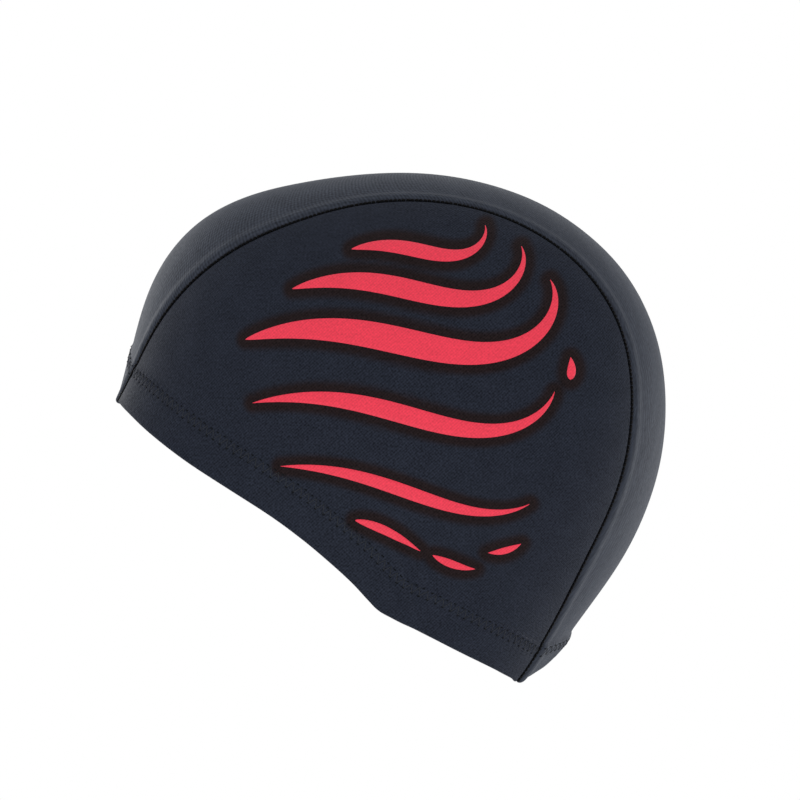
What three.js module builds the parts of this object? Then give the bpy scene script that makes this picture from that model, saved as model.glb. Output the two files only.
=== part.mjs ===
// A swim cap of three sewn panels of stretch knit, held open in its worn form.
// Millimetres, +Z up. The forehead faces -Y and the wearer's left is +X. The origin is on the
// inside of the crown, straight above the ear centre, where the cap sits on the head.
import * as THREE from 'three';

// The worn form, measured from the ear centre to the outer face
const CROWN_HEIGHT = 98;
const HALF_LENGTH = 104;
const HALF_WIDTH = 77;

// The cloth
const PANEL_CLOTH = 1.2;
const BAND_CLOTH = 1.2;
const CLEARANCE = 0.3;

// The band over the crown: half its width where the table's share is 1
const BAND_HALF = 40;

// The rim: where its ends lie round the head, in degrees back from straight up, at the seams
// and at the mid line, and how far it arches over the temple
const FRONT_SEAM_ANGLE = -82.7;
const FRONT_MID_ANGLE = -83;
const NAPE_SEAM_ANGLE = 152.2;
const NAPE_MID_ANGLE = 148.2;
const RIM_ARCH = 6;

// The cloth turned in at the rim, and how far it lifts the cloth over it
const TURN_IN = 16;
const TURN_IN_CLOTH = 1.2;
const TURN_IN_LIFT = 0.5;

// The seams: how deep the stitching draws the cloth in, how far to each side, and the sewn
// allowance inside, which lies under the band
const SEAM_SINK = 0.6;
const SEAM_ROLL = 5;
const ALLOWANCE_WIDTH = 5;
const ALLOWANCE_LIP = 0.5;
const ALLOWANCE_CLOTH = 1;
const ALLOWANCE_STOP = 1;

// Sections round the mid plane, by angle back from straight up. Outline is the share of the
// ellipse of CROWN_HEIGHT and HALF_LENGTH, fullness the exponent of the rounding from the mid
// line to the side, and band the share of BAND_HALF. Those below the rim only guide the sides.
const SECTIONS = [
  { angle: 0, outline: 0.995, fullness: 2.35, band: 0.915 },
  { angle: 20, outline: 1.02, fullness: 2.5, band: 0.885 },
  { angle: 40, outline: 1.05, fullness: 2.5, band: 0.86 },
  { angle: 60, outline: 1.06, fullness: 2.45, band: 0.885 },
  { angle: 80, outline: 1.02, fullness: 2.25, band: 0.95 },
  { angle: 100, outline: 0.99, fullness: 2.1, band: 0.955 },
  { angle: 120, outline: 0.98, fullness: 1.95, band: 0.965 },
  { angle: 140, outline: 1.005, fullness: 2.1, band: 0.785 },
  { angle: 160, outline: 1.19, fullness: 2.2, band: 0.66 },
  { angle: 180, outline: 1.4, fullness: 2.2, band: 0.8 },
  { angle: 200, outline: 1.53, fullness: 2.2, band: 0.8 },
  { angle: 220, outline: 1.55, fullness: 2.2, band: 0.8 },
  { angle: 240, outline: 1.42, fullness: 2.2, band: 0.8 },
  { angle: 260, outline: 1.15, fullness: 2.6, band: 0.38 },
  { angle: 280, outline: 0.96, fullness: 2.2, band: 0.62 },
  { angle: 300, outline: 1.04, fullness: 1.75, band: 0.845 },
  { angle: 320, outline: 1.095, fullness: 1.7, band: 1.01 },
  { angle: 340, outline: 1.005, fullness: 2.05, band: 0.98 },
];

// The side's rim from the front seam to the nape seam: share of the straight line between
// them, and rise over it as a share of RIM_ARCH. It arches over the temple and dips at the ear.
const RIM = [
  { along: 0, rise: 0 },
  { along: 0.04, rise: 0.22 },
  { along: 0.1, rise: 0.36 },
  { along: 0.2, rise: 0.6 },
  { along: 0.3, rise: 0.88 },
  { along: 0.4, rise: 1.08 },
  { along: 0.48, rise: 1.03 },
  { along: 0.55, rise: 0.82 },
  { along: 0.61, rise: 0.53 },
  { along: 0.655, rise: 0.17 },
  { along: 0.685, rise: -0.04 },
  { along: 0.72, rise: 0 },
  { along: 0.78, rise: 0.18 },
  { along: 0.86, rise: 0.27 },
  { along: 0.94, rise: 0.25 },
  { along: 1, rise: 0 },
];

// Mesh steps: rings of a side panel with its four sides, rows up the turned-in cloth, and
// columns from the band's mid line to its edge, of which the last two lie in the seam's roll
const RINGS = 12;
const RING_SPREAD = THREE.MathUtils.degToRad(75);
const SIDE_STEPS = 2 * RINGS;
const SEAM_STEPS = 3 * SIDE_STEPS;
const HEM_ROWS = 2;
const FLAT_COLUMNS = 3;
const EDGE_COLUMN = FLAT_COLUMNS + 2;
const CLIMB_STEPS = 8;
const RIM_SAMPLES = 96;
const LEAN_SHARE = 0.25;
const MARCH_DEGREES = 0.25;

const LEFT = 1;
const RIGHT = -1;

// Smooth closed curve through the table, drawn near its values, by angle in degrees
function section(column, angle) {
  const count = SECTIONS.length;
  const place = (THREE.MathUtils.euclideanModulo(angle, 360) * count) / 360;
  const row = Math.floor(place);
  const f = place - row;
  const weights = [
    (1 - f) ** 3,
    3 * f ** 3 - 6 * f ** 2 + 4,
    -3 * f ** 3 + 3 * f ** 2 + 3 * f + 1,
    f ** 3,
  ];
  const value = (k) => SECTIONS[(row + k - 1 + count) % count][column];
  return weights.reduce((sum, weight, k) => sum + weight * value(k), 0) / 6;
}

const ear = new THREE.Vector3(0, 0, BAND_CLOTH - CROWN_HEIGHT * section('outline', 0));

const bandHalf = (angle) => BAND_HALF * section('band', angle);

// Angle and reach of a place in the mid plane, seen from the ear centre
function polar(y, z) {
  const back = y / HALF_LENGTH;
  const up = (z - ear.z) / CROWN_HEIGHT;
  return { angle: THREE.MathUtils.radToDeg(Math.atan2(back, up)), reach: Math.hypot(back, up) };
}

// A point of the outer form at an angle, so far out from the mid plane
function formPoint(angle, x) {
  const fill = Math.sqrt(1 - Math.abs(x / HALF_WIDTH) ** section('fullness', angle));
  const reach = section('outline', angle) * fill;
  const turn = THREE.MathUtils.degToRad(angle);
  const back = HALF_LENGTH * reach * Math.sin(turn);
  return new THREE.Vector3(x, back, ear.z + CROWN_HEIGHT * reach * Math.cos(turn));
}

// How far out the side stands at a place in the mid plane
function sideWidth(y, z) {
  const { angle, reach } = polar(y, z);
  const fill = 1 - (reach / section('outline', angle)) ** 2;
  return HALF_WIDTH * fill ** (1 / section('fullness', angle));
}

// Zero on the outer form, and more outside it
function excess(point) {
  const { angle, reach } = polar(point.y, point.z);
  const side = Math.abs(point.x / HALF_WIDTH) ** section('fullness', angle);
  return (reach / section('outline', angle)) ** 2 + side - 1;
}

function slope(point) {
  const reach = 0.01;
  const along = (axis) => {
    const ahead = point.clone().addScaledVector(axis, reach);
    const behind = point.clone().addScaledVector(axis, -reach);
    return (excess(ahead) - excess(behind)) / (2 * reach);
  };
  const axes = [new THREE.Vector3(1, 0, 0), new THREE.Vector3(0, 1, 0), new THREE.Vector3(0, 0, 1)];
  return new THREE.Vector3(...axes.map(along));
}

// How deep the nearest seam draws the cloth in
function seamSink(point) {
  const off = Math.abs(Math.abs(point.x) - bandHalf(polar(point.y, point.z).angle));
  return SEAM_SINK * Math.max(0, 1 - off / SEAM_ROLL) ** 2;
}

// The point so deep in the cloth under a point of the outer form
function layer(point, depth) {
  return point.clone().addScaledVector(slope(point).normalize(), -depth - seamSink(point));
}

const frontCorner = formPoint(FRONT_SEAM_ANGLE, bandHalf(FRONT_SEAM_ANGLE));
const napeCorner = formPoint(NAPE_SEAM_ANGLE, bandHalf(NAPE_SEAM_ANGLE));
const chord = napeCorner.clone().sub(frontCorner).setX(0);
const rise = new THREE.Vector3(0, -chord.z, chord.y).normalize();
const rimCurve = new THREE.SplineCurve(RIM.map((p) => new THREE.Vector2(p.along, p.rise * RIM_ARCH)));

const upTo = (last, first = 0) => Array.from({ length: last - first + 1 }, (_, k) => first + k);

const onSide = (point) => point.setX(sideWidth(point.y, point.z));

// The left side's rim, sampled closely at both ends, where it turns round forehead and nape
const rimLine = new THREE.CatmullRomCurve3(
  upTo(RIM_SAMPLES).map((step) => {
    const place = rimCurve.getPoint((1 - Math.cos((Math.PI * step) / RIM_SAMPLES)) / 2);
    return onSide(frontCorner.clone().addScaledVector(chord, place.x).addScaledVector(rise, place.y));
  }),
);

// From the front seam at share 0 to the nape seam at 1, by length
const sideRim = (share) => onSide(rimLine.getPointAt(share));

// Lines along the band, each given by how far out it lies at an angle
const seamLine = (offset) => (angle) => bandHalf(angle) + offset;

function bandLine(column, offset = 0) {
  const place = Math.abs(column);
  if (place === EDGE_COLUMN) {
    return (angle) => Math.sign(column) * (bandHalf(angle) + offset);
  }
  if (place > FLAT_COLUMNS) {
    return (angle) => Math.sign(column) * (bandHalf(angle) - SEAM_ROLL / 2);
  }
  return (angle) => ((bandHalf(angle) - SEAM_ROLL) * column) / FLAT_COLUMNS;
}

// Angle of a line at a length from its front or nape end
function angleAfter(line, length, fromFront) {
  const seam = fromFront ? FRONT_SEAM_ANGLE : NAPE_SEAM_ANGLE;
  const mid = fromFront ? FRONT_MID_ANGLE : NAPE_MID_ANGLE;
  const share = line(seam) / bandHalf(seam);
  const step = fromFront ? MARCH_DEGREES : -MARCH_DEGREES;
  const pointAt = (angle) => formPoint(angle, line(angle));
  let angle = THREE.MathUtils.lerp(mid, seam, share ** 2);
  let left = length;
  while (left > 0) {
    const stride = pointAt(angle).distanceTo(pointAt(angle + step));
    angle += step * Math.min(1, left / stride);
    left -= stride;
  }
  return angle;
}

// Angle of a line at a share of the way between the turned-in cloth in front and at the nape
function angleBetween(line, share, clear = 0) {
  const front = angleAfter(line, TURN_IN + clear, true);
  const nape = angleAfter(line, TURN_IN + clear, false);
  return THREE.MathUtils.lerp(front, nape, share);
}

function seamPoint(share, offset) {
  const angle = angleBetween(seamLine(0), share);
  return formPoint(angle, bandHalf(angle) + offset);
}

function onForm(point) {
  const steep = slope(point);
  return point.addScaledVector(steep, -excess(point) / steep.lengthSq());
}

// The point so far up the outer form from a point of the rim
function climb(point, height) {
  const place = point.clone();
  for (let step = 0; step < CLIMB_STEPS; step += 1) {
    const out = slope(place).normalize();
    const ahead = rise.clone().addScaledVector(out, -rise.dot(out)).normalize();
    onForm(place.addScaledVector(ahead, height / CLIMB_STEPS));
  }
  return place;
}

// The left side so high over the rim, from the front seam at share 0 to the nape seam at 1.
// Near a seam the columns lean over to run along it.
function hemPoint(share, height, offset) {
  const end = Math.round(share);
  const lean = Math.max(0, 1 - Math.abs(share - end) / LEAN_SHARE) ** 2;
  const angle = angleAfter(seamLine(0), height, end === 0);
  const shift = formPoint(angle, bandHalf(angle) + offset).sub(climb(sideRim(end), height));
  return onForm(climb(sideRim(share), height).addScaledVector(shift, lean));
}

// Outline of the left panel over the turned-in cloth, on a square from -1 to 1: its lower side
// runs over the ear, and the other three are the seam
function panelOutline(right, up, offset) {
  if (up === -1) {
    return hemPoint((right + 1) / 2, TURN_IN, offset);
  }
  if (right === 1) {
    return seamPoint(1 - (up + 1) / 6, offset);
  }
  if (up === 1) {
    return seamPoint((right + 3) / 6, offset);
  }
  return seamPoint((up + 1) / 6, offset);
}

// A point of the left panel's grid. Its rings close in on the ear centre, and the rows below
// them lie over the turned-in cloth.
function panelPoint(column, row) {
  const offset = CLEARANCE / 2;
  if (row < -RINGS) {
    const height = (TURN_IN * (row + RINGS + HEM_ROWS)) / HEM_ROWS;
    return hemPoint((column + RINGS) / SIDE_STEPS, height, offset);
  }
  const ring = Math.max(Math.abs(column), Math.abs(row));
  if (ring === 0) {
    return new THREE.Vector3(HALF_WIDTH, ear.y, ear.z);
  }
  const edge = panelOutline(column / ring, row / ring, offset);
  if (ring === RINGS) {
    return edge;
  }
  const spread = Math.sin((RING_SPREAD * ring) / RINGS) / Math.sin(RING_SPREAD);
  const point = ear.clone().lerp(edge, spread);
  return point.setX(sideWidth(point.y, point.z));
}

const mirrored = (point, side) => point.clone().setX(point.x * side);

// A closed body between two grids of points that face each other. A looped one joins its last
// column to its first.
function shell(outer, inner, looped = false) {
  const columns = outer.length;
  const rows = outer[0].length;
  const points = [outer, inner].flat(2);
  const at = (grid, column, row) => (grid * columns + (column % columns)) * rows + row;
  const index = [];
  const quad = (a, b, c, d) => {
    const straight = points[a].distanceTo(points[c]) <= points[b].distanceTo(points[d]);
    index.push(...(straight ? [a, b, c, a, c, d] : [a, b, d, b, c, d]));
  };
  const lastColumn = looped ? columns : columns - 1;
  for (let i = 0; i < lastColumn; i += 1) {
    for (let j = 0; j < rows - 1; j += 1) {
      quad(at(0, i, j), at(0, i + 1, j), at(0, i + 1, j + 1), at(0, i, j + 1));
      quad(at(1, i, j), at(1, i, j + 1), at(1, i + 1, j + 1), at(1, i + 1, j));
    }
    quad(at(1, i, 0), at(1, i + 1, 0), at(0, i + 1, 0), at(0, i, 0));
    const top = rows - 1;
    quad(at(0, i, top), at(0, i + 1, top), at(1, i + 1, top), at(1, i, top));
  }
  if (!looped) {
    const end = columns - 1;
    for (let j = 0; j < rows - 1; j += 1) {
      quad(at(0, 0, j), at(0, 0, j + 1), at(1, 0, j + 1), at(1, 0, j));
      quad(at(1, end, j), at(1, end, j + 1), at(0, end, j + 1), at(0, end, j));
    }
  }
  const geometry = new THREE.BufferGeometry();
  const positions = points.flatMap((point) => point.toArray());
  geometry.setAttribute('position', new THREE.Float32BufferAttribute(positions, 3));
  geometry.setIndex(facingOut(points, index));
  return geometry;
}

// Turns every face over where the body is inside out
function facingOut(points, index) {
  let volume = 0;
  for (let k = 0; k < index.length; k += 3) {
    const [a, b, c] = index.slice(k, k + 3).map((corner) => points[corner]);
    volume += a.dot(b.clone().cross(c));
  }
  return volume < 0 ? index.reverse() : index;
}

// A wall of cloth through a grid of points of the outer form, between two depths under it
function wall(columns, rows, { place, lift = () => 0, from, to, looped }) {
  const face = columns.map((column) => rows.map((row) => ({ at: place(column, row), up: lift(row) })));
  const sheet = (depth) => face.map((line) => line.map(({ at, up }) => layer(at, depth - up)));
  return shell(sheet(from), sheet(to), looped);
}

function sidePanel(side) {
  return wall(upTo(RINGS, -RINGS), upTo(RINGS, -RINGS - HEM_ROWS), {
    place: (column, row) => mirrored(panelPoint(column, row), side),
    lift: (row) => (row <= -RINGS ? TURN_IN_LIFT : 0),
    from: 0,
    to: PANEL_CLOTH,
  });
}

// Rows along the band: those over the turned-in cloth at either end, and the seam's steps
const BAND_ROWS = SEAM_STEPS + 2 * HEM_ROWS;

function bandAngle(line, row) {
  if (row < HEM_ROWS) {
    return angleAfter(line, (TURN_IN * row) / HEM_ROWS, true);
  }
  if (row > BAND_ROWS - HEM_ROWS) {
    return angleAfter(line, (TURN_IN * (BAND_ROWS - row)) / HEM_ROWS, false);
  }
  return angleBetween(line, (row - HEM_ROWS) / SEAM_STEPS);
}

function crownBand() {
  return wall(upTo(EDGE_COLUMN, -EDGE_COLUMN), upTo(BAND_ROWS), {
    place: (column, row) => {
      const angle = bandAngle(bandLine(column), row);
      return formPoint(angle, bandLine(column, -CLEARANCE / 2)(angle));
    },
    lift: (row) => (row <= HEM_ROWS || row >= BAND_ROWS - HEM_ROWS ? TURN_IN_LIFT : 0),
    from: 0,
    to: BAND_CLOTH,
  });
}

// The turned-in cloth is one loop: left side, nape, right side, forehead
function rimHem() {
  const under = Math.max(PANEL_CLOTH, BAND_CLOTH) + CLEARANCE;
  const sideStations = upTo(SIDE_STEPS).map((step) => (height) => hemPoint(step / SIDE_STEPS, height, 0));
  const bandStations = (fromFront) =>
    upTo(EDGE_COLUMN - 1, 1 - EDGE_COLUMN).map((column) => (height) => {
      const angle = angleAfter(bandLine(column), height, fromFront);
      return formPoint(angle, bandLine(column)(angle));
    });
  const stations = [
    ...sideStations,
    ...bandStations(false).reverse(),
    ...sideStations.map((station) => (height) => mirrored(station(height), RIGHT)).reverse(),
    ...bandStations(true),
  ];
  return wall(stations, upTo(HEM_ROWS), {
    place: (station, row) => station((TURN_IN * row) / HEM_ROWS),
    lift: () => TURN_IN_LIFT,
    from: under,
    to: under + TURN_IN_CLOTH,
    looped: true,
  });
}

function seamAllowance(side) {
  const under = Math.max(PANEL_CLOTH, BAND_CLOTH) + CLEARANCE;
  const offsets = [ALLOWANCE_LIP, -ALLOWANCE_WIDTH / 2, -ALLOWANCE_WIDTH];
  return wall(upTo(SEAM_STEPS), offsets, {
    place: (step, offset) => {
      const angle = angleBetween(seamLine(offset), step / SEAM_STEPS, ALLOWANCE_STOP);
      return mirrored(formPoint(angle, bandHalf(angle) + offset), side);
    },
    from: under,
    to: under + ALLOWANCE_CLOTH,
  });
}

const panelKnit = new THREE.MeshStandardMaterial({ color: '#2a2d36', roughness: 0.62, metalness: 0 });
const bandKnit = new THREE.MeshStandardMaterial({ color: '#3a3d46', roughness: 0.55, metalness: 0 });
const hemKnit = new THREE.MeshStandardMaterial({ color: '#23262e', roughness: 0.7, metalness: 0 });
const seamKnit = new THREE.MeshStandardMaterial({ color: '#1c1e24', roughness: 0.8, metalness: 0 });

function piece(name, geometry, material) {
  const mesh = new THREE.Mesh(geometry, material);
  mesh.name = name;
  return mesh;
}

const cap = new THREE.Group();
cap.name = 'swim_cap';
cap.add(piece('left_panel', sidePanel(LEFT), panelKnit));
cap.add(piece('right_panel', sidePanel(RIGHT), panelKnit));
cap.add(piece('crown_band', crownBand(), bandKnit));
cap.add(piece('rim_hem', rimHem(), hemKnit));
cap.add(piece('left_seam', seamAllowance(LEFT), seamKnit));
cap.add(piece('right_seam', seamAllowance(RIGHT), seamKnit));

export default cap;
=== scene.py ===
"""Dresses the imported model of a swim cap: knit cloth, folded hem, seams, stitches, print, studio."""
import math

import bmesh
import bpy
import numpy as np
from bpy.props import FloatProperty, FloatVectorProperty, PointerProperty
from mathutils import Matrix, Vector


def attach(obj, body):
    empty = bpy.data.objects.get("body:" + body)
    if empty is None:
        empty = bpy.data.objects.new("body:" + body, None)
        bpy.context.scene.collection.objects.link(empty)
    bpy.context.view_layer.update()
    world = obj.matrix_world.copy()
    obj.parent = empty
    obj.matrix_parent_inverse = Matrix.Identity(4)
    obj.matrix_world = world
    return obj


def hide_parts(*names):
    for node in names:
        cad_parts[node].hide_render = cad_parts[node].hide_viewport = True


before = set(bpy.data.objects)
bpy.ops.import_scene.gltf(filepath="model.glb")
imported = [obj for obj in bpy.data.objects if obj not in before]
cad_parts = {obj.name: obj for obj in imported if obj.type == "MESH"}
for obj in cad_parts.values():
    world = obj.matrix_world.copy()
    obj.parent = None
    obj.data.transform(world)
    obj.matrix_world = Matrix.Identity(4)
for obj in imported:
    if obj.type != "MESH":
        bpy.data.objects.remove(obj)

bl_info = {
    "name": "Swim Cap",
    "version": (1, 0, 0),
    "blender": (4, 5, 0),
    "location": "View3D > Sidebar > Swim Cap",
    "description": "Cloth, stitches and print of a three-panel swim cap in its worn form",
    "category": "Add Mesh",
}

MM = 0.001
BODY = "root"

# The worn form, the same as the solids': measured from the ear centre to the outer face
CROWN_HEIGHT = 98 * MM
HALF_LENGTH = 104 * MM
HALF_WIDTH = 77 * MM
BAND_HALF = 40 * MM
CROWN_CLOTH = 1.2 * MM

# The rim's ends round the head, in degrees back from straight up, and its arch over the temple
FRONT_SEAM_ANGLE = -82.7
FRONT_MID_ANGLE = -83
NAPE_SEAM_ANGLE = 152.2
NAPE_MID_ANGLE = 148.2
RIM_ARCH = 6 * MM

# Sections every 20 degrees back from straight up: share of the ellipse of crown height and half
# length, exponent of the rounding to the side, and share of the band's half width
SECTIONS = np.array(
    [
        (0.995, 2.35, 0.915), (1.02, 2.5, 0.885), (1.05, 2.5, 0.86), (1.06, 2.45, 0.885),
        (1.02, 2.25, 0.95), (0.99, 2.1, 0.955), (0.98, 1.95, 0.965), (1.005, 2.1, 0.785),
        (1.19, 2.2, 0.66), (1.4, 2.2, 0.8), (1.53, 2.2, 0.8), (1.55, 2.2, 0.8),
        (1.42, 2.2, 0.8), (1.15, 2.6, 0.38), (0.96, 2.2, 0.62), (1.04, 1.75, 0.845),
        (1.095, 1.7, 1.01), (1.005, 2.05, 0.98),
    ],
    dtype=[("outline", float), ("fullness", float), ("band", float)],
)

# The side's rim from front seam to nape seam: share of the straight line between them, and rise
# over it as a share of RIM_ARCH
RIM = np.array(
    [
        (0, 0), (0.04, 0.22), (0.1, 0.36), (0.2, 0.6), (0.3, 0.88), (0.4, 1.08),
        (0.48, 1.03), (0.55, 0.82), (0.61, 0.53), (0.655, 0.17), (0.685, -0.04), (0.72, 0),
        (0.78, 0.18), (0.86, 0.27), (0.94, 0.25), (1, 0),
    ]
)

# The hem: cloth turned in, its two rows of needle stitches, and the grid that carries them
TURN_IN = 16 * MM
NEEDLE_ROWS = (12.5 * MM, 15.8 * MM)
HEM_TOP = 20 * MM
HEM_TABLE = np.arange(-2.5, 21.01, 0.25) * MM
HEM_LEAN = 0.25

# The print's ribbons: where each starts, back and up from the print's middle, its heading in
# degrees up from straight back, its length, how far it turns evenly and how far more at its tip,
# its width, and where along it it is widest
PRINT_BACK = 5 * MM
PRINT_UP = 14 * MM
PRINT_TILT = math.radians(-14)
RIBBONS = np.array(
    [
        (-56, 12, 32, 130, -84, 190, 10, 0.45),
        (-44, 34, 32, 96, -84, 185, 7.4, 0.45),
        (-27, 53, 28, 55, -72, 170, 5.2, 0.45),
        (-47, -9, 28, 116, -76, 135, 7, 0.5),
        (-31, -28, 16, 92, -54, 80, 5, 0.5),
        (0, -40, 2, 26, -32, 10, 3.4, 0.4),
        (30, -46, -18, 16, 18, 10, 3, 0.45),
        (49, -41, 10, 12, 35, 0, 2.6, 0.5),
        (62, 27, 92, 8, 24, 0, 3.2, 0.35),
    ],
    dtype=[
        (key, float)
        for key in ("back", "up", "heading", "length", "turn", "curl", "width", "fullest")
    ],
)

# A ribbon's tips: the power of its swelling towards them, and their half width. The plate's section:
# places across the ribbon, there and back below, and heights as shares of the ink's. The dark film
# is whole to this share of the halo.
RIBBON_SWELL = 0.8
RIBBON_TIP = 0.1 * MM
PLATE_ACROSS = np.array([-1, -0.93, -0.5, 0, 0.5, 0.93, 1, 0.5, 0, -0.5])
PLATE_LIFTS = np.array([-1, 0.8, 1, 1, 1, 0.8, -1, -1, -1, -1])
FILM_WHOLE = 0.45

# Height of the broad waves, the narrow waves and the folds at the rim's corner, in millimetres
WAVE_HEIGHTS = (0.07, 0.042, 0.42)

# Relief beside a seam: how deep a stitch pulls the cloth and how far that reaches, how deep the side
# panel sinks into the groove and how far that reaches, where the ridge over the seam allowance rises
# and falls, and the share of its own thickness that the cloth's face may sink
STITCH_PULL, PULL_REACH = 0.1 * MM, 1.2 * MM
GROOVE_SINK, GROOVE_REACH = 0.15 * MM, 2 * MM
RIDGE_RISE, RIDGE_FALL = (0.3 * MM, 2.2 * MM), (2.9 * MM, 5.6 * MM)
SINK_LIMIT = 0.85

# Relief of the hem: how deep a needle row is pressed in, how much more at a stitch and how far that
# reaches, the pucker at each stitch, where the hem stops standing out of the cloth above it, how high
# the rim's tuck and its sag at a seam reach, the sag's reach along the rim in front and at the nape,
# and how much of it there is in front
ROW_PRESS, STITCH_PRESS, PRESS_REACH = 0.09 * MM, 0.7, 0.7 * MM
PUCKER, PUCKER_REACH = 0.1 * MM, 2.2 * MM
JOG_END = (TURN_IN + 0.1 * MM, TURN_IN + 1.6 * MM)
TUCK_TOP, SAG_TOP = 15 * MM, 8 * MM
FRONT_LUMP_REACH, NAPE_LUMP_REACH = 2.5 * MM, 3 * MM
FRONT_LUMP = 0.4

# The fold over the nape's hem: how far out from the band's middle it lies at the rim and at the hem's
# top, its half width, and the heights between which it rises and falls
CREASE_FOOT, CREASE_HEAD, CREASE_REACH = 19 * MM, 4 * MM, 4 * MM
CREASE_RISE, CREASE_FALL = (0, 0.25 * HEM_TOP), (0.6 * HEM_TOP, HEM_TOP)

# The seam allowance: its depth in thicknesses of cloth, its gap under the band, how far from the
# turned-in cloth it stops, the points along it, and its section from the seam inwards, by share of
# its width and depth, with the groove between the two cut edges
ALLOWANCE_LAYERS = 1.8
ALLOWANCE_GAP = 0.08 * MM
ALLOWANCE_STOP = 0.6 * MM
ALLOWANCE_SAMPLES = 200
ALLOWANCE_HALF = np.array(
    [(-0.12, 0.5), (-0.12, 0.85), (0.02, 1), (0.6, 1), (0.93, 1), (1, 0.9), (1.02, 0.7)]
)
ALLOWANCE_GROOVE = np.array([(0.99, 0.53), (0.97, 0.5), (0.99, 0.47)])

# The overlock thread over it: stitch length, the shares of the allowance's width that it runs
# between, its gap under the allowance, and how far from the turned-in cloth it stops
OVERLOCK_PITCH, OVERLOCK_ROWS = 1.8 * MM, (0.1, 1)
OVERLOCK_GAP, OVERLOCK_STOP = 0.1 * MM, 1 * MM

# Lines along the band: their points, the degrees they run on past the rim, and the share of the
# band's half width up to which their ends follow the rim's bend
LINE_SAMPLES, LINE_PAST, LINE_BEND = 1600, 3, 1.05

# Offsets from a seam of the mesh lines beside it, the points of the rim, and the turn by which a side
# panel's rings draw closer together towards the seam
EDGE_STEPS = np.array([0, 0.18, 0.4, 0.65, 0.95, 1.3, 1.8, 2.4, 3.1, 3.9, 4.8, 5.8, 7]) * MM
EDGE = len(EDGE_STEPS) - 1
RIM_SAMPLES = 1600
RING_SPREAD = math.radians(75)

# Mesh rows of the hem's inner cloth, its fold and its outer cloth, columns between the band's two
# edges, and mesh steps for each stitch of the hem and of the seam
INNER_ROWS, FOLD_ROWS, OUTER_ROWS = 8, 9, 43
BAND_COLUMNS = 31
HEM_MESH, SEAM_MESH = 5, 3

# Mesh steps of the right side and the wrong side: on a side panel along the rim, along the seam and
# in rings to the ear, and on the wrong side of the band across and along
PANEL_RIGHT, PANEL_WRONG = (1, 1, 64), (4, 6, 14)
BAND_WRONG = (3, 4)

# The chart of the flat side: turns round the ear centre, steps outwards, and how far it reaches
FLAT_TURNS, FLAT_STEPS, FLAT_REACH = 181, 91, 135 * MM

LEFT, RIGHT = 1, -1
SIDES = (("left", LEFT), ("right", RIGHT))

# How much smaller the cloth is cut than it is worn, and how far the band's ribs slant at its ends
STRETCH = 1.1
GRAIN_SLANT = 1.0

# Stitches: the share of its pitch that one shows, how deep it lies in the seam or stands out of the
# hem at points along it, how much stitches differ in length and place, how thick their ends are, how
# high the cover thread lies on the hem, and how far the looper thread reaches over the cut edge
SEAM_SHARE, NEEDLE_SHARE = 0.62, 0.36
SEAM_DEPTHS = np.array([0.7, 0.48, 0.38, 0.38, 0.48, 0.7]) * MM
NEEDLE_LIFTS = np.array([-0.25, 0.02, 0.1, 0.1, 0.02, -0.25]) * MM
STITCH_POINTS = 6
LENGTH_SPREAD, PLACE_SPREAD, ROW_SPREAD = 0.2, 0.06, 0.15 * MM
THREAD_TIP = 0.45
COVER_LIFT, LOOPER_PAST = 0.05 * MM, 0.5 * MM

# The knit: how far apart its ribs are and the loops along them, the ribs' slant on the flat cloth,
# and how much ribs, loops and fuzz show. Real ribs are about 0.5 mm apart, a pixel and a half in the
# render, so these are drawn about twice as coarse, as they need to be to show.
PANEL_KNIT = {
    "rib_pitch": 0.9 * MM, "loop_pitch": 1.0 * MM, "slant": math.radians(48),
    "ribs": 0.42, "loops": 0.25, "fuzz": 2.1,
}
BAND_KNIT = {
    "rib_pitch": 1.1 * MM, "loop_pitch": 1.5 * MM, "slant": math.radians(90),
    "ribs": 0.48, "loops": 0.3, "fuzz": 1.4,
}

# How unevenly ribs and loops run, the grain of the fuzz, the grain and weight of slow blotches, and
# how far the knit's height swings to either side of its middle
RIB_WANDER, LOOP_WANDER = 2.2, 4.0
FUZZ_GRAIN, BLOTCH_GRAIN = 0.9 * MM, 9 * MM
BLOTCH = 0.5
KNIT_SWING = 0.7

# The studio: a floor well below the cap, lamps with their size and power, and the camera, which
# looks at the ear from a little in front of square on and a little above
FLOOR_SIZE = 6
FLOOR_LEVEL = -1.6
SOFTBOXES = (
    ("front_softbox", (-0.57, -0.68, 0.1), (0, 0, -0.08), 0.5, 2.8),
    ("nape_softbox", (-0.45, 0.7, -0.35), (0, 0, -0.1), 0.5, 3.4),
    ("low_softbox", (0.8, -0.15, -0.65), (0, 0, -0.08), 0.6, 1.8),
)
CAMERA_TURN = (96, 6)
CAMERA_DISTANCE = 1.3
CAMERA_LENS = 153.1
CAMERA_SHIFT = (3.8 * MM, 11.5 * MM)


def linear(colour):
    """The linear values of an sRGB hex colour."""
    channels = (int(colour[k : k + 2], 16) / 255 for k in (1, 3, 5))
    return tuple(c / 12.92 if c <= 0.04045 else ((c + 0.055) / 1.055) ** 2.4 for c in channels)


def size_prop(name, description, default):
    return FloatProperty(
        name=name, description=description, default=default, min=0, subtype="DISTANCE", unit="LENGTH"
    )


def colour_prop(name, description, default):
    return FloatVectorProperty(
        name=name, description=description, default=linear(default), min=0, max=1, subtype="COLOR"
    )


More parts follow.
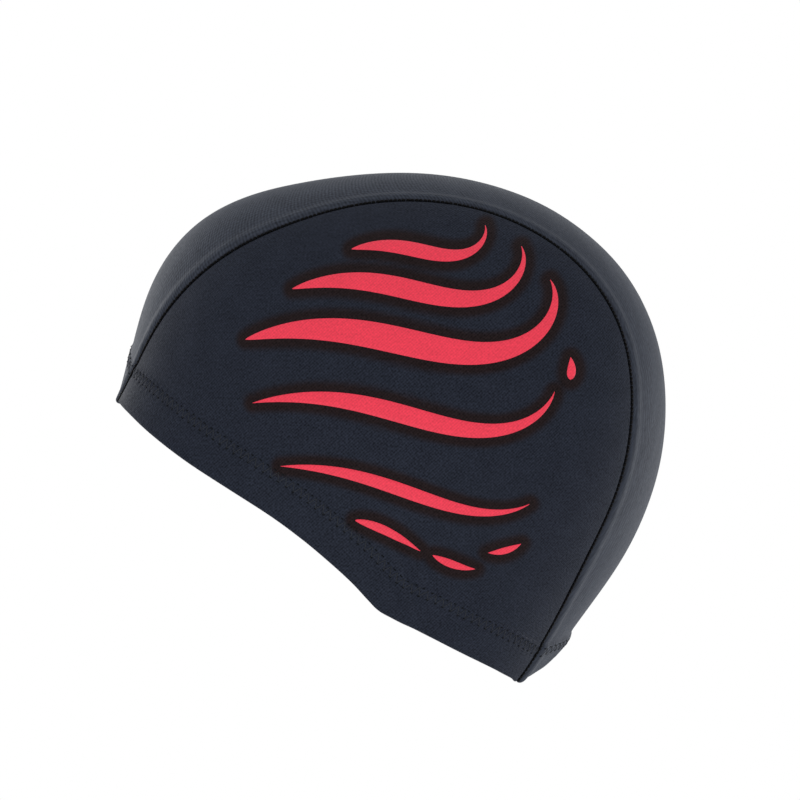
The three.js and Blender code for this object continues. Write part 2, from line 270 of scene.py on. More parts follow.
class ClothSizes(bpy.types.PropertyGroup):
    """Sizes of the cloth, its hem and its seams."""

    cloth: size_prop("Cloth", "Thickness of the knit", 1.0 * MM)
    hem_gap: size_prop("Hem gap", "Between the two layers of the hem", 0.1 * MM)
    panel_jog: size_prop("Panel jog", "How far the hem stands out of a side panel", 0.35 * MM)
    front_jog: size_prop("Front jog", "How far the hem stands out of the band at the forehead", 0.45 * MM)
    nape_jog: size_prop("Nape jog", "How far the hem stands out of the band at the nape", 0.9 * MM)
    front_rise: size_prop("Front rise", "How much taller the hem is at the forehead's middle", 5.5 * MM)
    lip: size_prop("Lip", "Radius of the cloth's turn down into a seam", 1.3 * MM)
    ridge: size_prop("Ridge", "How far the seam allowance lifts the band beside the seam", 0.5 * MM)
    allowance: size_prop("Allowance", "Width of cloth sewn in along a seam", 5 * MM)
    lump: size_prop("Lump", "How far a seam's end bulges under the nape rim", 0.9 * MM)
    front_tuck: size_prop("Front tuck", "How far the rim is drawn in at the forehead", 1.3 * MM)
    nape_tuck: size_prop("Nape tuck", "How far the rim is drawn in at the nape", 2.4 * MM)
    crease: size_prop("Crease", "Height of the fold in the hem at the nape", 0.7 * MM)


class StitchSizes(bpy.types.PropertyGroup):
    """Sizes of the stitches."""

    needle_pitch: size_prop("Needle pitch", "Stitch length of the hem's two rows", 3.3 * MM)
    seam_pitch: size_prop("Seam pitch", "Stitch length of the seams", 1.6 * MM)
    # Far thicker than real thread: its black also stands for the painted shadow of the seam's groove
    seam_thread_and_shade: size_prop("Seam thread", "Diameter of the thread in the seams' grooves", 1.3 * MM)
    needle_thread: size_prop("Needle thread", "Diameter of the hem's two rows", 0.44 * MM)
    looper: size_prop("Looper", "Diameter of the soft thread that covers the cut edges", 0.22 * MM)


class PrintSizes(bpy.types.PropertyGroup):
    """Sizes of the print."""

    ink: size_prop("Ink", "How far the ink stands out of the knit", 0.12 * MM)
    halo: size_prop("Halo", "Width of the dark film round the ink", 4.8 * MM)


class Colours(bpy.types.PropertyGroup):
    """Colours of cloth, thread, print and studio."""

    panel: colour_prop("Panel", "Knit of the side panels", "#1e222c")
    # The band is the panels' dark knit; its lighter colour is painted light, standing for the light and
    # sheen that catch the band
    band: colour_prop("Band", "Knit of the crown band", "#2c3039")
    allowance: colour_prop("Allowance", "Knit of the seam allowances", "#17181d")
    # Near black: the seam's own thread, and also painted shade, since the thick thread fills the groove
    # where its shadow falls
    thread: colour_prop("Thread", "Thread in the seams", "#050506")
    needle: colour_prop("Needle", "Thread of the hem's two rows", "#101216")
    looper: colour_prop("Looper", "Soft thread over the cut edges", "#26262b")
    cover: colour_prop("Cover", "Fine thread between the hem's two rows", "#323438")
    ink: colour_prop("Ink", "Printed ink", "#dc3248")
    film: colour_prop("Film", "Dark film under the ink", "#1c1415")
    studio: colour_prop("Studio", "Floor and backdrop", "#ffffff")


def ramp(value, start, stop):
    """Rises smoothly from 0 at start to 1 at stop."""
    t = np.clip((value - start) / (stop - start), 0, 1)
    return t * t * (3 - 2 * t)


def bell(value, centre, reach):
    """One at the centre, falling off evenly to both sides over a reach."""
    return np.exp(-(((value - centre) / reach) ** 2))


def section(column, angle):
    """Smooth closed curve through a column of SECTIONS, drawn near its values."""
    table = SECTIONS[column]
    place = np.mod(angle, 360) * len(table) / 360
    row = np.floor(place).astype(int)
    f = place - row
    weights = (
        (1 - f) ** 3,
        3 * f**3 - 6 * f**2 + 4,
        -3 * f**3 + 3 * f**2 + 3 * f + 1,
        f**3,
    )
    return sum(w * table[(row + k - 1) % len(table)] for k, w in enumerate(weights)) / 6


EAR = np.array([0, 0, CROWN_CLOTH - CROWN_HEIGHT * section("outline", np.float64(0))])


def band_half(angle):
    return BAND_HALF * section("band", angle)


def polar(y, z):
    """Angle and reach of a place in the mid plane, seen from the ear centre."""
    back = y / HALF_LENGTH
    up = (z - EAR[2]) / CROWN_HEIGHT
    return np.degrees(np.arctan2(back, up)), np.hypot(back, up)


def angle_of(p):
    return polar(p[..., 1], p[..., 2])[0]


def form_point(angle, x):
    """Points of the outer form at an angle, so far out from the mid plane."""
    angle, x = np.broadcast_arrays(np.asarray(angle, float), x)
    fill = np.sqrt(1 - np.abs(x / HALF_WIDTH) ** section("fullness", angle))
    reach = section("outline", angle) * fill
    turn = np.radians(angle)
    y = HALF_LENGTH * reach * np.sin(turn)
    z = EAR[2] + CROWN_HEIGHT * reach * np.cos(turn)
    return np.stack([x, y, z], axis=-1)


def side_width(y, z):
    """How far out the side stands at a place in the mid plane."""
    angle, reach = polar(y, z)
    fill = np.clip(1 - (reach / section("outline", angle)) ** 2, 0, 1)
    return HALF_WIDTH * fill ** (1 / section("fullness", angle))


def excess(p):
    """Zero on the outer form, and more outside it."""
    angle, reach = polar(p[..., 1], p[..., 2])
    side = np.abs(p[..., 0] / HALF_WIDTH) ** section("fullness", angle)
    return (reach / section("outline", angle)) ** 2 + side - 1


def slope(p):
    step = 0.01 * MM
    along = [(excess(p + step * axis) - excess(p - step * axis)) / (2 * step) for axis in np.eye(3)]
    return np.stack(along, axis=-1)


def unit(v):
    return v / np.linalg.norm(v, axis=-1, keepdims=True)


def on_form(p):
    steep = slope(p)
    return p - steep * (excess(p) / (steep**2).sum(-1))[..., None]


def on_side(p):
    return np.stack([side_width(p[..., 1], p[..., 2]), p[..., 1], p[..., 2]], axis=-1)


def through(points, place):
    """A smooth curve through points, one apart in place."""
    k = np.clip(np.floor(place).astype(int), 0, len(points) - 2)
    t = (place - k)[..., None]
    a, b, c, d = (points[np.clip(k + step, 0, len(points) - 1)] for step in (-1, 0, 1, 2))
    leave, arrive = (c - a) / 2, (d - b) / 2
    cubic, square = 2 * b - 2 * c + leave + arrive, 3 * c - 3 * b - 2 * leave - arrive
    return cubic * t**3 + square * t**2 + leave * t + b


FRONT_CORNER = form_point(FRONT_SEAM_ANGLE, band_half(FRONT_SEAM_ANGLE))
NAPE_CORNER = form_point(NAPE_SEAM_ANGLE, band_half(NAPE_SEAM_ANGLE))
CHORD = (NAPE_CORNER - FRONT_CORNER) * (0, 1, 1)
RISE = unit(np.array([0, -CHORD[2], CHORD[1]]))


def rim_line():
    """Points of the left side's rim, close together, and their lengths from the front seam."""
    spread = (1 - np.cos(np.linspace(0, math.pi, RIM_SAMPLES))) / 2
    place = through(RIM * (1, RIM_ARCH), spread * (len(RIM) - 1))
    points = on_side(FRONT_CORNER + place[:, :1] * CHORD + place[:, 1:] * RISE)
    steps = np.linalg.norm(np.diff(points, axis=0), axis=1)
    return points, np.append(0, np.cumsum(steps))


RIM_POINTS, RIM_LENGTHS = rim_line()
RIM_LENGTH = RIM_LENGTHS[-1]


def side_rim(length):
    at = [np.interp(length, RIM_LENGTHS, RIM_POINTS[:, axis]) for axis in (1, 2)]
    return on_side(np.stack([np.zeros_like(at[0]), *at], axis=-1))


class Line:
    """A line along the band from rim to rim, given by how far out it lies at an angle."""

    def __init__(self, out):
        self.out = out
        starts = []
        for seam, mid in ((FRONT_SEAM_ANGLE, FRONT_MID_ANGLE), (NAPE_SEAM_ANGLE, NAPE_MID_ANGLE)):
            share = min(abs(out(seam)) / band_half(seam), LINE_BEND)
            starts.append(mid + (seam - mid) * share**2)
        self.angles = np.linspace(starts[0] - LINE_PAST, starts[1] + LINE_PAST, LINE_SAMPLES)
        points = form_point(self.angles, out(self.angles))
        lengths = np.append(0, np.cumsum(np.linalg.norm(np.diff(points, axis=0), axis=1)))
        first, last = np.interp(starts, self.angles, lengths)
        self.lengths = lengths - first
        self.total = last - first

    def angle(self, length):
        return np.interp(length, self.lengths, self.angles)

    def length(self, angle):
        return np.interp(angle, self.angles, self.lengths)

    def at(self, length):
        angle = self.angle(length)
        return form_point(angle, self.out(angle))


SEAM_EDGE = 0.05 * MM
SEAM_ENDS = (NAPE_SEAM_ANGLE, FRONT_SEAM_ANGLE)
SEAM = Line(band_half)
PANEL_EDGE = Line(lambda angle: band_half(angle) + SEAM_EDGE)


def from_seam(p):
    """How far out of the seam a point lies, towards the side."""
    return np.abs(p[..., 0]) - band_half(angle_of(p))


def along_seam(p):
    """Length along the seam from the front rim to where a point lies beside it."""
    return SEAM.length(angle_of(p))


class SideHem:
    """The left side over the rim, by length along the rim and height over it. Near a seam the
    columns lean over to run along it."""

    def __init__(self, lengths):
        place = side_rim(lengths)
        share = lengths / RIM_LENGTH
        up = self.climb(place, HEM_TABLE[HEM_TABLE >= 0])
        down = self.climb(place, HEM_TABLE[HEM_TABLE < 0][::-1])[::-1]
        climbed = np.concatenate([down, up])
        for end, along in ((0, HEM_TABLE), (1, PANEL_EDGE.total - HEM_TABLE)):
            lean = np.clip(1 - np.abs(share - end) / HEM_LEAN, 0, 1) ** 2
            shift = PANEL_EDGE.at(along) - climbed[:, -end]
            climbed = climbed + lean[None, :, None] * shift[:, None, :]
        self.table = on_form(on_form(climbed))

    @staticmethod
    def climb(place, heights):
        rows, height = [], 0
        for target in heights:
            out = unit(slope(place))
            ahead = unit(RISE - out * (out @ RISE)[:, None])
            place = on_form(place + ahead * (target - height))
            height = target
            rows.append(place)
        return np.array(rows)

    def at(self, heights, columns):
        """Points of some columns, at heights given by row and column."""
        step = HEM_TABLE[1] - HEM_TABLE[0]
        place = np.clip((heights - HEM_TABLE[0]) / step, 0, len(HEM_TABLE) - 1.001)
        row = place.astype(int)
        f = (place - row)[..., None]
        return self.table[row, columns] * (1 - f) + self.table[row + 1, columns] * f


class Weave:
    """Gathers the points and faces of one piece of cloth."""

    def __init__(self):
        self.points, self.knit, self.faces = [], [], []
        self.count = 0

    def add(self, points, knit):
        """Adds an array of points with their places on the flat knit, and returns their numbers."""
        points, knit = np.asarray(points), np.asarray(knit)
        self.points.append(points.reshape(-1, 3))
        self.knit.append(knit.reshape(-1, 2))
        numbers = self.count + np.arange(points[..., 0].size).reshape(points.shape[:-1])
        self.count += numbers.size
        return numbers

    def grid(self, n):
        quads = np.stack([n[:-1, :-1], n[:-1, 1:], n[1:, 1:], n[1:, :-1]], axis=-1)
        self.faces.extend(quads.reshape(-1, 4).tolist())

    def tube(self, points, knit):
        """Adds a closed tube through rings of points, with both its ends shut."""
        n = self.add(points, knit)
        self.grid(np.concatenate([n, n[:, :1]], axis=1))
        self.faces.extend([n[0].tolist(), n[-1].tolist()])

    def zip(self, first, first_at, second, second_at):
        """Joins two rows of points whose places run up together, by triangles."""
        i = j = 0
        while i < len(first) - 1 or j < len(second) - 1:
            ahead = first_at[i + 1] if i < len(first) - 1 else math.inf
            other = second_at[j + 1] if j < len(second) - 1 else math.inf
            if ahead <= other:
                self.faces.append([int(first[i]), int(first[i + 1]), int(second[j])])
                i += 1
            else:
                self.faces.append([int(first[i]), int(second[j + 1]), int(second[j])])
                j += 1

    def build(self, name, side=LEFT):
        points = np.concatenate(self.points) * (side, 1, 1)
        knit = np.concatenate(self.knit)
        mesh = bpy.data.meshes.new(name)
        mesh.from_pydata(points.tolist(), [], self.faces)
        layer = mesh.uv_layers.new(name="knit")
        corner = np.zeros(len(mesh.loops), np.int32)
        mesh.loops.foreach_get("vertex_index", corner)
        layer.data.foreach_set("uv", knit[corner].astype(np.float32).ravel())
        shell = bmesh.new()
        shell.from_mesh(mesh)
        bmesh.ops.recalc_face_normals(shell, faces=shell.faces)
        shell.to_mesh(mesh)
        shell.free()
        mesh.shade_smooth()
        piece = bpy.data.objects.new(name, mesh)
        bpy.context.scene.collection.objects.link(piece)
        return piece


def hem_profile(sizes):
    """Rows across the hem's section, from the cut edge inside, down, round the fold and up the
    outside: turn round the fold, 0 inside and pi outside, and height where it runs straight."""
    radius = sizes.cloth + sizes.hem_gap / 2
    rows = [(0, h) for h in np.linspace(TURN_IN, radius, INNER_ROWS, endpoint=False)]
    rows += [(turn, radius) for turn in np.linspace(0, math.pi, FOLD_ROWS)]
    rows += [(math.pi, h) for h in np.linspace(radius, HEM_TOP, OUTER_ROWS)[1:]]
    return np.array(rows)


def waves(p):
    """Relief of worn cloth: broad and narrower slow waves, and the small folds that pull at the rim's
    corner behind the ear. Their places and lengths are in millimetres."""
    x, y, z = (p[..., axis] / MM for axis in range(3))
    broad = np.sin(y / 13 + z / 19 + 1.3) * np.sin(z / 15 - np.abs(x) / 23)
    narrow = np.sin((y - z) / 8.3 + x / 17)
    pulled = bell(y, 14, 10) * bell(z, -143, 15) * np.sin(0.9 * y + 0.25 * z)
    return MM * sum(height * wave for height, wave in zip(WAVE_HEIGHTS, (broad, narrow, pulled)))


def fitted(total, pitch):
    """The pitch nearest to the one wanted that divides a length evenly."""
    return total / round(total / pitch)


def between_stitches(along, total, pitch):
    """One midway between two stitches of a row, and zero at the middle of a stitch."""
    return np.cos(math.pi * along / fitted(total, pitch)) ** 2


def rolled(radius, off):
    """How far a cloth that turns down at an edge lies lower, so far off the edge."""
    return radius * (1 - np.sqrt(1 - np.clip(1 - off / radius, 0, 1) ** 2))


def seam_pull(stitches, p, off):
    """How much the seam's stitches draw the cloth in at a point, so far off the seam."""
    between = between_stitches(along_seam(p), SEAM.total, stitches.seam_pitch)
    return STITCH_PULL * between * np.exp(-off / PULL_REACH)


def panel_relief(sizes, stitches, p):
    """A side panel beside a seam: rolled down into the groove and pulled at each stitch."""
    off = np.maximum(from_seam(p), 0)
    groove = rolled(sizes.lip, off) + GROOVE_SINK * np.exp(-off / GROOVE_REACH)
    return np.maximum(-groove - seam_pull(stitches, p, off), -SINK_LIMIT * sizes.cloth)


def band_relief(sizes, stitches, p):
    """The band beside a seam: a rolled lip, then the ridge over the seam allowance."""
    off = np.maximum(-from_seam(p), 0)
    ridge = sizes.ridge * ramp(off, *RIDGE_RISE) * (1 - ramp(off, *RIDGE_FALL))
    low = ridge - rolled(sizes.lip, off) - seam_pull(stitches, p, off)
    return np.maximum(low, -SINK_LIMIT * sizes.cloth)


def needle_relief(needle, height):
    """The hem's outer face, pressed along the two needle rows and puckered at each stitch, from how
    near a stitch each point is: one at its middle, and zero midway to the next."""
    relief = np.zeros(np.broadcast(needle, height).shape)
    for row in NEEDLE_ROWS:
        press = ROW_PRESS * bell(height, row, PRESS_REACH) * (1 + STITCH_PRESS * needle)
        relief = relief - press - PUCKER * bell(height, row, PUCKER_REACH) * needle
    return relief


def crease_relief(sizes, x, height):
    """The fold that runs over the nape's hem, from the rim near the left seam to the middle."""
    centre = CREASE_FOOT + (CREASE_HEAD - CREASE_FOOT) * np.clip(height / HEM_TOP, 0, 1)
    fades = ramp(height, *CREASE_RISE) * (1 - ramp(height, *CREASE_FALL))
    return sizes.crease * bell(x, centre, CREASE_REACH) * fades


def tuck(sizes, p, height, nape):
    """How far the band's rim is drawn in, most at its middle."""
    middle = 1 - (p[..., 0] / band_half(angle_of(p))) ** 2
    low = np.clip(1 - height / TUCK_TOP, 0, 1) ** 2
    return np.where(nape, sizes.nape_tuck, sizes.front_tuck) * np.clip(middle, 0, 1) * low


def forehead_rise(sizes, x, nape):
    """How much taller the band's hem is so far out from its middle, at the forehead only."""
    half = band_half(FRONT_SEAM_ANGLE)
    rise = sizes.front_rise * ramp(half - np.abs(x), 0, half)
    return np.where(nape, 0, rise)


def jog(depth, height):
    """The hem stands out of the cloth above it."""
    return depth * (1 - ramp(height, *JOG_END))


def sagging(sizes, from_front, from_nape, height):
    """How far the rim sags at a seam's two ends, and the cloth over it."""
    share = FRONT_LUMP * bell(from_front, 0, FRONT_LUMP_REACH) + bell(from_nape, 0, NAPE_LUMP_REACH)
    return sizes.lump * share * (1 - ramp(height, 0, SAG_TOP))


def inward(form, depth):
    return form - unit(slope(form)) * depth[..., None]


def every(count, step):
    """Numbers from 0 to count - 1, step apart, with the last one."""
    return np.unique(np.append(np.arange(0, count, step), count - 1))


def round_edge(*stretches):
    """Numbers of the points round an edge and their places on it, from the numbers and mesh steps of
    its stretches, each of which starts where the last one ends."""
    numbers, places = [stretches[0][0][:1]], [np.zeros(1, int)]
    for ids, steps in stretches:
        numbers.append(ids[1:])
        places.append(places[-1][-1] + np.abs(steps - steps[0])[1:])
    return np.concatenate(numbers), np.concatenate(places)


class FlatSide:
    """Where a point of a side lies on the flat knit, by its direction from the ear centre and its
    distance along the cloth."""

    def __init__(self):
        self.turns = np.linspace(-math.pi, math.pi, FLAT_TURNS)
        self.reaches = np.linspace(0, FLAT_REACH, FLAT_STEPS)
        y = np.cos(self.turns)[:, None] * self.reaches
        z = EAR[2] + np.sin(self.turns)[:, None] * self.reaches
        steps = np.hypot(np.diff(side_width(y, z), axis=1), np.diff(self.reaches))
        self.far = np.pad(np.cumsum(steps, axis=1), ((0, 0), (1, 0)))

    def at(self, p):
        y, z = p[..., 1], p[..., 2] - EAR[2]
        turn = np.arctan2(z, y)
        places = (
            (turn + math.pi) / (2 * math.pi) * (len(self.turns) - 1),
            np.hypot(y, z) / self.reaches[-1] * (len(self.reaches) - 1),
        )
        i, j = (np.clip(v.astype(int), 0, n - 2) for v, n in zip(places, self.far.shape))
        f, g = places[0] - i, places[1] - j
        here = (1 - g) * self.far[i, j] + g * self.far[i, j + 1]
        beside = (1 - g) * self.far[i + 1, j] + g * self.far[i + 1, j + 1]
        far = (1 - f) * here + f * beside
        return np.stack([far * np.cos(turn), far * np.sin(turn)], axis=-1)


class Cloth:
    """What the side panels and the crown band share."""

    def __init__(self, sizes, stitches):
        self.sizes, self.stitches = sizes, stitches
        self.fold = sizes.hem_gap / 2
        self.profile = hem_profile(sizes)

    def top(self, form, place, height):
        """Points on the right side over points of the form."""
        relief, lift = self.relief(form, place, height)
        return inward(form, -relief - lift)

    def depth(self, turn, relief, lift, right):
        """Depth under the form of one face of the cloth: its right side, or the wrong side."""
        radius = self.sizes.cloth + self.fold + relief if right else self.fold
        return self.sizes.cloth + self.fold + radius * np.cos(turn) - lift

    def build(self, name, side=LEFT):
        weave = Weave()
        edge, edge_at = self.face(weave, right=True)
        self.right_count = weave.count
        under, under_at = self.face(weave, right=False)
        weave.zip(edge, edge_at, under, under_at)
        return weave.build(name, side)


class SidePanel(Cloth):
    """The left side panel with its hem folded in. Its grid follows the rim, then the seam, then
    rings that close in on the ear centre."""

    def __init__(self, sizes, stitches):
        super().__init__(sizes, stitches)
        step = stitches.needle_pitch / HEM_MESH
        middle = np.arange(EDGE_STEPS[-1], RIM_LENGTH - EDGE_STEPS[-1], step)[1:]
        self.lengths = np.concatenate([EDGE_STEPS, middle, (RIM_LENGTH - EDGE_STEPS)[::-1]])
        self.hem = SideHem(self.lengths)
        steps = (PANEL_EDGE.total - 2 * HEM_TOP) / (stitches.seam_pitch / SEAM_MESH)
        whole = 2 * PANEL_WRONG[1]
        self.seam_count = round(steps / whole) * whole
        self.flat = FlatSide()

    def relief(self, form, along, height):
        """Relief and lift of the right side over the hem."""
        needle = 1 - between_stitches(along, RIM_LENGTH, self.stitches.needle_pitch)
        relief = panel_relief(self.sizes, self.stitches, form) + needle_relief(needle, height)
        return relief, jog(self.sizes.panel_jog, height) + waves(form)

    def over(self, weave, form, right):
        """Adds cloth over the hem."""
        relief = panel_relief(self.sizes, self.stitches, form)
        depth = self.depth(math.pi, relief, waves(form), right)
        return weave.add(inward(form, depth), self.flat.at(form))

    def hem_face(self, weave, rows, columns, right):
        turn, straight = (self.profile[rows, k][:, None] + np.zeros(len(columns)) for k in (0, 1))
        along = self.lengths[columns]
        sag = sagging(self.sizes, along, RIM_LENGTH - along, straight)
        place = self.hem.at(straight, columns)
        outside, _ = self.relief(place, along, straight)
        inside = panel_relief(self.sizes, self.stitches, place)
        relief = np.where(turn == math.pi, outside, inside)
        radius = self.sizes.cloth + self.fold + relief if right else self.fold
        form = self.hem.at(straight - radius * np.sin(turn) - sag, columns)
        lift = jog(self.sizes.panel_jog, straight) + waves(form)
        ids = weave.add(inward(form, self.depth(turn, relief, lift, right)), self.flat.at(form))
        weave.grid(ids)
        return ids

    def seam_face(self, weave, hem_ids, columns, steps, right):
        """The strip beside the seam, from the hem in front to the hem at the nape."""
        edge = np.count_nonzero(columns <= EDGE) - 1
        top = self.hem.at(np.full((1, len(columns)), HEM_TOP), columns)[0]
        front, nape = top[: edge + 1], top[::-1][: edge + 1]
        share = (steps / self.seam_count)[1:-1, None]
        angle, off = (of(front) * (1 - share) + of(nape) * share for of in (angle_of, from_seam))
        form = form_point(angle, band_half(angle) + off)
        ids = np.concatenate(
            [hem_ids[-1:, : edge + 1], self.over(weave, form, right), hem_ids[-1:, ::-1][:, : edge + 1]]
        )
        weave.grid(ids)
        outline = np.concatenate([top[edge : len(columns) - edge], form[::-1, edge]])
        outline_ids = np.concatenate([hem_ids[-1, edge : len(columns) - edge], ids[::-1, edge][1:-1]])
        return ids, outline, outline_ids

    def ring_face(self, weave, outline, outline_ids, keep, rings, right):
        spread = np.sin(RING_SPREAD * np.arange(rings - 1, 0, -1) / rings) / math.sin(RING_SPREAD)
        form = on_side(EAR + spread[:, None, None] * (outline[keep] - EAR))
        ids = self.over(weave, form, right)
        ids = np.concatenate([ids, ids[:, :1]], axis=1)
        weave.grid(ids)
        whole = np.append(outline_ids, outline_ids[0])
        weave.zip(whole, np.arange(len(whole)), ids[0], np.append(keep, len(outline)))
        centre = self.over(weave, on_side(EAR[None, :]), right)[0]
        weave.faces.extend([int(a), int(b), int(centre)] for a, b in zip(ids[-1, :-1], ids[-1, 1:]))

    def face(self, weave, right):
        """One face of the cloth. Gives the numbers of its edge's points and their places on it."""
        last = len(self.lengths) - 1
        step, seam_step, rings = PANEL_RIGHT if right else PANEL_WRONG
        rows = every(len(self.profile), step)
        ends = np.arange(0, EDGE + 1, step)
        columns = np.unique(np.concatenate([ends, np.arange(EDGE, last - EDGE, step), last - ends]))
        steps = np.arange(0, self.seam_count + 1, seam_step)
        hem_ids = self.hem_face(weave, rows, columns, right)
        seam_ids, outline, outline_ids = self.seam_face(weave, hem_ids, columns, steps, right)
        bottom = len(columns) - 2 * (len(ends) - 1)
        thin = 2 if right else 1
        keep = np.append(np.arange(0, bottom - 1, thin), np.arange(bottom - 1, len(outline), thin))
        self.ring_face(weave, outline, outline_ids, keep, rings, right)
        up, down = (hem_ids[:, -1], rows), (hem_ids[::-1, 0], rows[::-1])
        return round_edge((hem_ids[0], columns), up, (seam_ids[::-1, 0], steps[::-1]), down)


class CrownBand(Cloth):
    """The crown band with the hem folded in at forehead and nape. Its grid runs along the seams."""

    def __init__(self, sizes, stitches):
        super().__init__(sizes, stitches)
        inset = EDGE_STEPS[-1]
        edges = [lambda angle, off=off: band_half(angle) - SEAM_EDGE - off for off in EDGE_STEPS]
        middle = [
            lambda angle, share=share: (band_half(angle) - SEAM_EDGE - inset) * share
            for share in np.linspace(-1, 1, BAND_COLUMNS + 2)[1:-1]
        ]
        mirrored = [lambda angle, out=out: -out(angle) for out in edges]
        self.lines = [Line(out) for out in mirrored + middle + edges[::-1]]
        count = round((SEAM.total - 2 * HEM_TOP) / (stitches.seam_pitch / SEAM_MESH))
        front = [(0, turn, height) for turn, height in self.profile]
        crown = [(share, math.pi, HEM_TOP) for share in np.linspace(0, 1, count + 1)[1:-1]]
        nape = [(1, turn, height) for _, turn, height in front[::-1]]
        self.rows = np.array(front + crown + nape)

    def relief(self, form, nape, height):
        """Relief and lift of the right side."""
        sizes = self.sizes
        half = np.where(nape, band_half(NAPE_SEAM_ANGLE), band_half(FRONT_SEAM_ANGLE))
        pitches = (fitted(2 * band_half(end), self.stitches.needle_pitch) for end in SEAM_ENDS)
        pitch = np.where(nape, *pitches)
        needle = np.sin(math.pi * (form[..., 0] + half) / pitch) ** 2
        height = height - forehead_rise(sizes, form[..., 0], nape)
        relief = band_relief(sizes, self.stitches, form) + needle_relief(needle, height)
        relief = relief + np.where(nape, crease_relief(sizes, form[..., 0], height), 0)
        lift = jog(np.where(nape, sizes.nape_jog, sizes.front_jog), height) + waves(form)
        return relief, lift - tuck(sizes, form, height, nape)

    def column(self, line, right):
        share, turn, straight = self.rows.T
        nape = share > 0.5
        at_end = (share == 0) | (share == 1)

        def place(heights):
            angle = line.angle(heights) * (1 - share) + line.angle(line.total - heights) * share
            return angle, form_point(angle, line.out(angle))

        angle, form = place(straight)
        rise = forehead_rise(self.sizes, form[:, 0], nape)
        straight = straight * np.where(at_end & (turn == 0), 1 + rise / TURN_IN, 1)
        angle, form = place(straight)
        length = line.length(angle)
        height = np.where(at_end, straight, np.minimum(length, line.total - length))
        relief, lift = self.relief(form, nape, height)
        relief = np.where(turn == math.pi, relief, band_relief(self.sizes, self.stitches, form))
        radius = self.sizes.cloth + self.fold + relief if right else self.fold
        edge = -from_seam(form)
        ends = np.where(nape, math.inf, edge), np.where(nape, edge, math.inf)
        sag = sagging(self.sizes, *ends, straight)
        angle, form = place(straight - radius * np.sin(turn) - sag)
        if not right:
            lift = lift + np.maximum(relief, 0)
        depth = self.depth(turn, relief, lift, right)
        slant = GRAIN_SLANT * np.clip(1 - 2 * line.length(angle) / line.total, -1, 1)
        knit = np.stack([form[:, 0], line.length(angle) + slant * form[:, 0]], axis=-1)
        return inward(form, depth), knit

    def face(self, weave, right):
        columns = np.arange(len(self.lines))
        rows = np.arange(len(self.rows))
        if not right:
            columns, rows = (every(len(steps), step) for steps, step in zip((columns, rows), BAND_WRONG))
        made = [self.column(self.lines[k], right) for k in columns]
        ids = weave.add(*(np.stack([part[k][rows] for part in made], axis=1) for k in (0, 1)))
        weave.grid(ids)
        there, back = (ids[0], columns), (ids[-1, ::-1], columns[::-1])
        return round_edge(there, (ids[:, -1], rows), back, (ids[::-1, 0], rows[::-1]))


def band_place(x, height, nape):
    """Points of the form on the band, by how far out and how high over the rim each lies."""
    seam = NAPE_SEAM_ANGLE if nape else FRONT_SEAM_ANGLE
    points = []
    for share, up in zip(np.ravel(x) / band_half(seam), np.ravel(height)):
        line = Line(lambda angle, share=share: share * band_half(angle))
        points.append(line.at(line.total - up if nape else up))
    return np.reshape(points, (*np.shape(x), 3))


def threads(name, paths, normals, diameter, side=LEFT, sides=6):
    """A thread along each path, with its ends drawn in. Its map runs along and round it."""
    weave = Weave()
    turn = np.linspace(0, 2 * math.pi, sides, endpoint=False)
    for path, normal in zip(paths, normals):
        ahead = unit(np.gradient(path, axis=0))
        across = unit(np.cross(ahead, normal))
        up = np.cross(across, ahead)
        radius = np.full(len(path), diameter / 2)
        radius[[0, -1]] *= THREAD_TIP
        ring = across[:, None] * np.cos(turn)[:, None] + up[:, None] * np.sin(turn)[:, None]
        along = np.append(0, np.cumsum(np.linalg.norm(np.diff(path, axis=0), axis=1)))
        knit = np.stack(np.broadcast_arrays(along[:, None], turn * diameter / 2), axis=-1)
        weave.tube(path[:, None] + ring * radius[:, None, None], knit)
    return weave.build(name, side)


def dashes(total, pitch, share):
    """Places along the stitches of a row, one row of places for each stitch. No two stitches are
    quite alike."""
    pitch = fitted(total, pitch)
    chance = np.random.default_rng(7)
    centres = np.arange(0.5 * pitch, total, pitch)[:, None]
    length = share * pitch * chance.uniform(1 - LENGTH_SPREAD, 1 + LENGTH_SPREAD, centres.shape)
    centres = centres + chance.uniform(-PLACE_SPREAD, PLACE_SPREAD, centres.shape) * pitch
    return centres + np.linspace(-0.5, 0.5, STITCH_POINTS) * length


def zigzag(total, pitch, rows):
    """A thread that crosses from one row to the other and back at each stitch."""
    pitch = fitted(total, pitch)
    corners = np.arange(0.5 * pitch, total, pitch / 2)
    along = np.arange(0.5 * pitch, corners[-1] + 0.01 * pitch, pitch / 8)
    return along, np.interp(along, corners, np.resize(rows, len(corners)))


def ribbon(row, count):
    """A print ribbon's middle line, back and up from the ear centre, its heading, most of whose curl
    is at its tip, and its half width."""
    t = np.linspace(0, 1, count)
    heading = PRINT_TILT + np.radians(row["heading"] + row["turn"] * t + row["curl"] * t**4)
    step = row["length"] * MM / (count - 1)
    cos, sin = math.cos(PRINT_TILT), math.sin(PRINT_TILT)
    back = PRINT_BACK + (row["back"] * cos - row["up"] * sin) * MM
    up = PRINT_UP + (row["back"] * sin + row["up"] * cos) * MM
    path = []
    for start, run in ((back, np.cos(heading)), (up, np.sin(heading))):
        path.append(start + step * np.append(0, np.cumsum((run[1:] + run[:-1]) / 2)))
    fullest = math.log(0.5) / math.log(row["fullest"])
    half = row["width"] / 2 * MM * np.sin(math.pi * t**fullest) ** RIBBON_SWELL
    return *path, heading, np.maximum(half, RIBBON_TIP)


